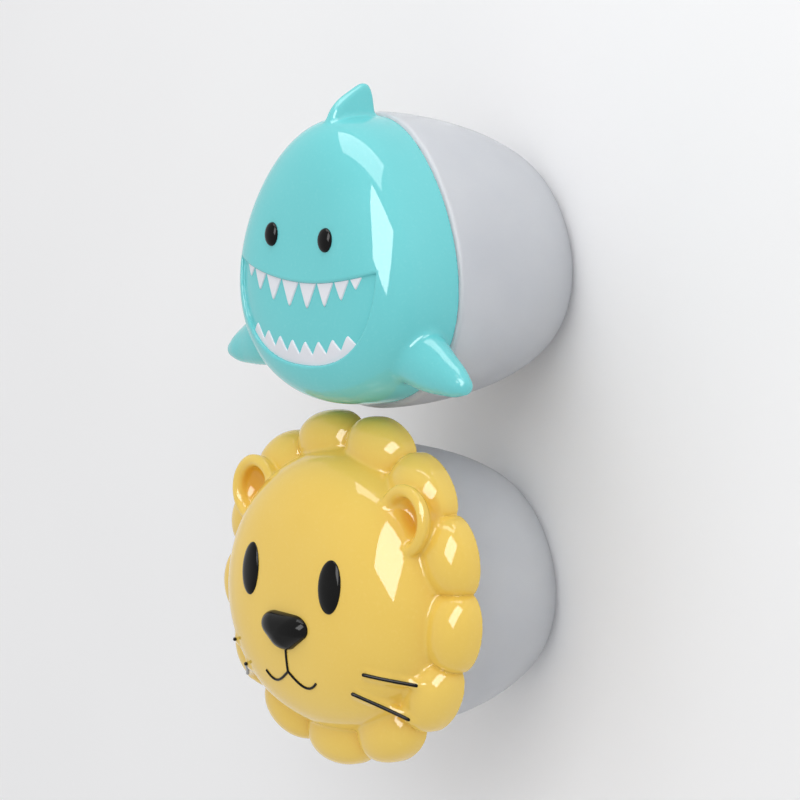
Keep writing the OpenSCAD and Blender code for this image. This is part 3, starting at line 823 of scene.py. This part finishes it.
# lion lid
lion = {
    "face": (49, 44.3, 0.06), "height": 28, "fullness": 2.8,
    "tufts": 13, "mane": (61.35, 55.9), "maneHeight": 11.5, "maneEdge": 2, "notch": 6.5, "crease": 6,
    "tuftCrest": 0.4, "tuftFullness": 2.3, "maneBlend": 1.4,
    "maneRoot": 5, "hidden": 0.8,
    "earAt": (37.6, 26.6), "earRadius": 11, "earHeight": 13.5, "earTube": 1.8, "earStart": -76,
    "earTurn": 226, "earLean": 0.22, "earNarrow": 0.7,
    "cup": (7.2, 7.2, 5.6), "cupOut": 0.6, "cupBlend": 2.0, "rimBlend": 1.6,
    "whiskerRoots": [(-35.2, 0.80), (-48.9, 0.82)], "whiskerEnds": [(-28.5, 0.84), (-42, 0.90)],
    "ridge": 1.3, "ridgeBlend": 2.2,
    "cell": 0.62,
}
lionDome = Dome(lion["face"], lion["height"], lion["fullness"])
maneRoot = inset(lion["face"], lion["maneRoot"])


def tuftRound(angle):
    # 1 on a tuft's crest line, near 0 in a notch, with a notch at the top of the head
    turn = (angle - math.pi / 2) * lion["tufts"] / (2 * math.pi)
    across = np.abs(2 * (turn - np.floor(turn)) - 1)
    return np.sqrt(1 - (0.97 * across) ** 2)


def maneRaw(x, y, z):
    # tufts grow from the mane's root under the face to its scalloped edge
    angle = np.arctan2(y / lion["mane"][1], x / lion["mane"][0])
    for _ in range(2):
        roundness = tuftRound(angle)
        cut = lion["notch"] * (1 - roundness)
        rootX, rootY = planPoint(maneRoot, angle)
        tipX, tipY = (lion["mane"][0] - cut) * np.cos(angle), (lion["mane"][1] - cut) * np.sin(angle)
        rootR, tipR = np.hypot(rootX, rootY), np.hypot(tipX, tipY)
        t = (np.hypot(x, y) - rootR) / (tipR - rootR)
        wide = maneRoot[0] * (1 - maneRoot[2] * np.sin(angle)) * (1 - t) + (lion["mane"][0] - cut) * t
        long = maneRoot[1] * (1 - t) + (lion["mane"][1] - cut) * t
        angle = np.arctan2(y / np.maximum(long, 1), x / np.maximum(wide, 1))
    crest, power = lion["tuftCrest"], lion["tuftFullness"]
    rise = lion["maneHeight"] - lion["crease"] * (1 - roundness) - lion["maneEdge"]
    slope = 0.78 + 0.22 * np.sin(np.pi / 2 * np.clip(t / crest, 0, 1))
    out = np.maximum(t - crest, 0) / (1 - crest)
    up = np.maximum(z - lion["maneEdge"], 0) / (rise * slope)
    return (out ** power + up ** power) ** (1 / power) - 1


maneAlone = measured(maneRaw, least=0.03)


def mane(x, y, z):
    # under the face the tufts' directions run together, so only their outer part counts
    return np.where(shareAt(maneRoot, x, y) < lion["hidden"], 9.0, maneAlone(x, y, z))


def earRim(x, y, z):
    # arc of a ring with round ends, about the ear's own middle
    dx, dy, dz = x - lion["earAt"][0], y - lion["earAt"][1], z - lion["earHeight"]
    radius = lion["earRadius"] - lion["earTube"]
    start, turn = math.radians(lion["earStart"]), math.radians(lion["earTurn"])
    angle = (np.arctan2(dy, dx) - start) % (2 * math.pi)
    over = np.where(angle > (math.pi + turn / 2), 0, np.minimum(angle, turn)) + start
    flat = (dx - radius * np.cos(over)) ** 2 + (dy - radius * np.sin(over)) ** 2
    return np.sqrt(flat + dz ** 2) - lion["earTube"]


def earWall(x, y, z):
    lean = (lion["earHeight"] - z) * lion["earLean"]
    reach = np.hypot(x - lion["earAt"][0] + lean, y - lion["earAt"][1] + lean)
    return np.maximum(reach - lion["earRadius"] + lion["earNarrow"] + 0.05 * lean, z - lion["earHeight"])


def earCup(x, y, z):
    wide, long, deep = lion["cup"]
    out = lion["cupOut"]
    across = ((x - lion["earAt"][0] - out) / wide) ** 2 + ((y - lion["earAt"][1] - out) / long) ** 2
    return (np.sqrt(across + ((z - lion["earHeight"] - 0.8) / deep) ** 2) - 1) * deep


def heightOf(form, x, y):
    # height of a form's upper skin over each place
    z = np.arange(32, 0, -0.1)
    return z[np.argmax(form(x[:, None], y[:, None], z[None, :]) < 0, axis=1)]


def faceAndMane(x, y, z):
    return smoothUnion(lionDome.distance(x, y, z), mane(x, y, z), lion["maneBlend"])


def whiskerPath(i):
    # straight from the cheek to a tuft, and never under the skin
    (rootAngle, rootShare), (endAngle, endShare) = lion["whiskerRoots"][i], lion["whiskerEnds"][i]
    start = np.array(planPoint(lion["face"], math.radians(rootAngle), rootShare))
    a = math.radians(endAngle)
    end = endShare * np.array((lion["mane"][0] * math.cos(a), lion["mane"][1] * math.sin(a)))
    t = np.linspace(0, 1, 15)
    x, y = (start[:, None] + (end - start)[:, None] * t)
    skin = heightOf(faceAndMane, x, y)
    z = np.maximum(skin, skin[0] + (skin[-1] - skin[0]) * t)
    return np.stack([x, y, z], axis=1)


whiskerPaths = [whiskerPath(i) for i in (0, 1)]
ridges = [limb([np.array((x, y, z - 0.75 * lion["ridge"], lion["ridge"], 1.0)) for x, y, z in path])
          for path in whiskerPaths]


def lionSkin(x, y, z):
    # everything outside: the ears are hollowed before the face joins them
    face = lionDome.distance(x, y, z)
    body = smoothUnion(mane(x, y, z), earWall(x, y, z), 1.5)
    body = smoothCommon(body, -earCup(x, y, z), lion["cupBlend"])
    body = smoothUnion(face, body, lion["maneBlend"])
    body = smoothUnion(body, earRim(x, y, z), lion["rimBlend"])
    for ridge in ridges:
        body = smoothUnion(body, ridge(x, y, z), lion["ridgeBlend"])
    return body


def lionLid(x, y, z):
    x = np.abs(x)
    body = lionSkin(x, y, z)
    face, fur, cup = lionDome.distance(x, y, z), mane(x, y, z), earCup(x, y, z)
    prism = rimPrism(x, y, 0 * z)
    hollow = np.maximum(np.minimum(face, fur) + rim["wall"], rim["wall"] - cup)
    hollow = np.maximum(hollow, -np.maximum(-prism, prism - rim["wall"]))
    pocket = np.maximum(prism, z - rim["pocket"])
    body = np.maximum(body, -np.minimum(hollow, pocket))
    return smoothCommon(body, -z, 0.5)


# middle and reach of the painted shade inside the ears
earPaintedShade = {"spot": (lion["earAt"][0] + 3, lion["earAt"][1] + 2.5, lion["earHeight"] - 4),
             "radii": (8.5, 8.5, 5)}
yellowShell = lidFinish("yellow_shell", lidLooks["lion"], homes["lion"], earPaintedShade)
lidPiece("lion_lid_shell", "lion_lid", homes["lion"], lionLid, (62.62, 57.04, 30), lion["cell"], yellowShell)
print("stage: lion lid")

# lion's eyes, nose, mouth and whiskers
lionTrim = {"eye": (4.7, 8.3, 1.4), "eyeAt": (20, 4.6), "nose": (11.0, 5.8, 4.8), "noseY": -12,
            "lineWidth": 0.85, "whiskerWidth": 1.15, "smile": (12.5, -24.8, 4.0),
            "lineLift": 0.1, "whiskerLift": 0.25}


def onFace(x, y, lift=0.0):
    return (x, y, float(lionDome.top(x, y)) + lift)


def noseSkin():
    # rounded triangle, wide at the top
    w, l, rise = lionTrim["nose"]
    y0 = lionTrim["noseY"]
    normal = lionDome.normal(0, y0)
    ex = np.array((1.0, 0, 0))
    ey = np.cross(normal, ex)
    lobes = [(-0.42 * w, 0.3 * l, 0.58 * w, 0.7 * l), (0.42 * w, 0.3 * l, 0.58 * w, 0.7 * l),
             (0, -0.4 * l, 0.5 * w, 0.6 * l)]

    def support(a):
        # how far the three ovals reach in one direction; the hull round them is the outline
        return max(u * math.cos(a) + v * math.sin(a) + math.hypot(p * math.cos(a), q * math.sin(a))
                   for u, v, p, q in lobes)

    outline = []
    for a in np.linspace(0, 2 * math.pi, 72, endpoint=False):
        h, dh = support(a), (support(a + 0.02) - support(a - 0.02)) / 0.04
        outline.append((h * math.cos(a) - dh * math.sin(a), h * math.sin(a) + dh * math.cos(a)))
    rings = []
    for share, height in [(1.0, -0.8)] + [(math.cos(a), rise * math.sin(a))
                                          for a in np.radians([0, 5, 12, 20, 30, 40, 50, 60, 70, 78, 84])]:
        ring = []
        for u, v in outline:
            spot = ex * u * share + ey * v * share
            x, y = spot[0], y0 + spot[1]
            ring.append(np.array(onFace(x, y)) + normal * height)
        rings.append(np.array(ring))
    return loft(rings)


def smilePoint(t):
    w, y, sag = lionTrim["smile"]
    return w * t * (1.2 - 0.2 * t), y - sag * math.sin(math.radians(152 * t))


def mouthLines():
    r = lionTrim["lineWidth"] / 2
    lift = lionTrim["lineLift"]
    parts = []
    for side in (-1, 1):
        path = [onFace(side * smilePoint(t)[0], smilePoint(t)[1], lift) for t in np.linspace(0, 1, 25)]
        parts.append(tube(path, r))
    top = lionTrim["noseY"] - lionTrim["nose"][1]
    parts.append(tube([onFace(0, y, lift) for y in np.linspace(top - 0.2, smilePoint(0)[1], 9)], r))
    return joined(parts)


def whiskerLine(path):
    # an even curve that lies on the ridge
    x, y = path[:, 0], path[:, 1]
    t = np.linspace(0, 1, len(path))
    height = np.polyval(np.polyfit(t, heightOf(lionSkin, x, y), 2), t)
    return np.stack([x, y, height + lionTrim["whiskerLift"]], axis=1)


whiskerLines = [whiskerLine(path) for path in whiskerPaths]
for side, name in ((-1, "left"), (1, "right")):
    centre = (side * lionTrim["eyeAt"][0], lionTrim["eyeAt"][1])
    makePiece("lion_" + name + "_eye_bead", "lion_" + name + "_eye", homes["lion"],
              *domedOval(lionDome, centre, lionTrim["eye"]), glossBlack)
    mirror = np.array((side, 1, 1))
    pair = [tube(line * mirror, lionTrim["whiskerWidth"] / 2) for line in whiskerLines]
    makePiece("lion_" + name + "_whisker_pair", "lion_" + name + "_whiskers", homes["lion"],
              *joined(pair), glossBlack)
makePiece("lion_nose_bead", "lion_nose", homes["lion"], *noseSkin(), glossBlack)
makePiece("lion_mouth_lines", "lion_mouth", homes["lion"], *mouthLines(), glossBlack)
print("stage: lion's eyes, nose, mouth and whiskers")

# floor, world and lamps
floorSize = 3.0


def makeFloor():
    finish = Finish("pale_floor", {"Specular IOR Level": 0.1})
    cloud = finish.spread(finish.noise(6, 2.0), 0.3, 0.7)
    finish.link("Base Color", finish.mix(cloud, (0.90, 0.90, 0.91, 1), (0.92, 0.92, 0.93, 1)))
    finish.link("Roughness", cloud * 0.05 + 0.75)
    mesh = bpy.data.meshes.new("floor")
    h = floorSize
    mesh.from_pydata([(-h, -h, 0), (h, -h, 0), (h, h, 0), (-h, h, 0)], [], [(0, 1, 2, 3)])
    mesh.materials.append(finish.material)
    floor = bpy.data.objects.new("floor", mesh)
    bpy.context.scene.collection.objects.link(floor)


def makeWorld(low=0.72, high=0.82):
    # even light all round, a little stronger towards the top of the faces
    world = bpy.data.worlds.new("studio")
    world.use_nodes = True
    tree = world.node_tree
    spot = tree.nodes.new("ShaderNodeTexCoord")
    parts = tree.nodes.new("ShaderNodeSeparateXYZ")
    level = tree.nodes.new("ShaderNodeMapRange")
    for name, value in {"From Min": -1.0, "From Max": 1.0, "To Min": low, "To Max": high}.items():
        level.inputs[name].default_value = value
    background = tree.nodes["Background"]
    background.inputs["Color"].default_value = (1, 1, 1, 1)
    tree.links.new(spot.outputs["Generated"], parts.inputs[0])
    tree.links.new(parts.outputs["Y"], level.inputs["Value"])
    tree.links.new(level.outputs[0], background.inputs["Strength"])
    bpy.context.scene.world = world


lamps = {
    "side": {"spot": (0.36, 0.35, 0.60), "aim": (0, 0.052, 0.085),
             "size": (0.74, 0.40), "long": (0.23, 0.65, -0.48)},
    "upper": {"spot": (0.03, 0.75, 0.30), "aim": (0, 0.052, 0.085),
              "size": (0.50, 0.35), "long": (1.0, 0.0, 0.0)},
    "card": {"spot": (0.02, 0.352, 0.13), "aim": (0.02, 0.085, 0.08),
             "size": (0.28, 0.17), "long": (0.9, 0.0, -0.43)},
}


def makeLamp(name, setup, radiance, gloss, ahead=0.0):
    data = bpy.data.lights.new(name, "AREA")
    data.shape = "RECTANGLE"
    data.size, data.size_y = setup["size"]
    data.energy = radiance * 4 * data.size * data.size_y
    lamp = bpy.data.objects.new(name, data)
    bpy.context.scene.collection.objects.link(lamp)
    spot, aim = Vector(setup["spot"]), Vector(setup["aim"])
    back = (spot - aim).normalized()
    spot -= back * ahead
    along = Vector(setup["long"])
    along = (along - back * along.dot(back)).normalized()
    turn = Matrix((along, back.cross(along), back)).transposed().to_4x4()
    lamp.matrix_world = Matrix.Translation(spot) @ turn
    lamp.visible_diffuse = not gloss
    lamp.visible_transmission = not gloss
    lamp.visible_glossy = gloss
    lamp.visible_camera = False


makeFloor()
makeWorld()
# two softboxes light the object, and two brighter ones only show as gloss on the plastic
makeLamp("side_light", lamps["side"], 1.1, gloss=False)
makeLamp("upper_light", lamps["upper"], 1.3, gloss=False)
makeLamp("side_gloss", lamps["side"], 7.0, gloss=True, ahead=0.01)
makeLamp("upper_gloss", lamps["card"], 3.4, gloss=True)
bpy.context.scene.view_settings.view_transform = "Standard"
print("stage: floor and lamps")
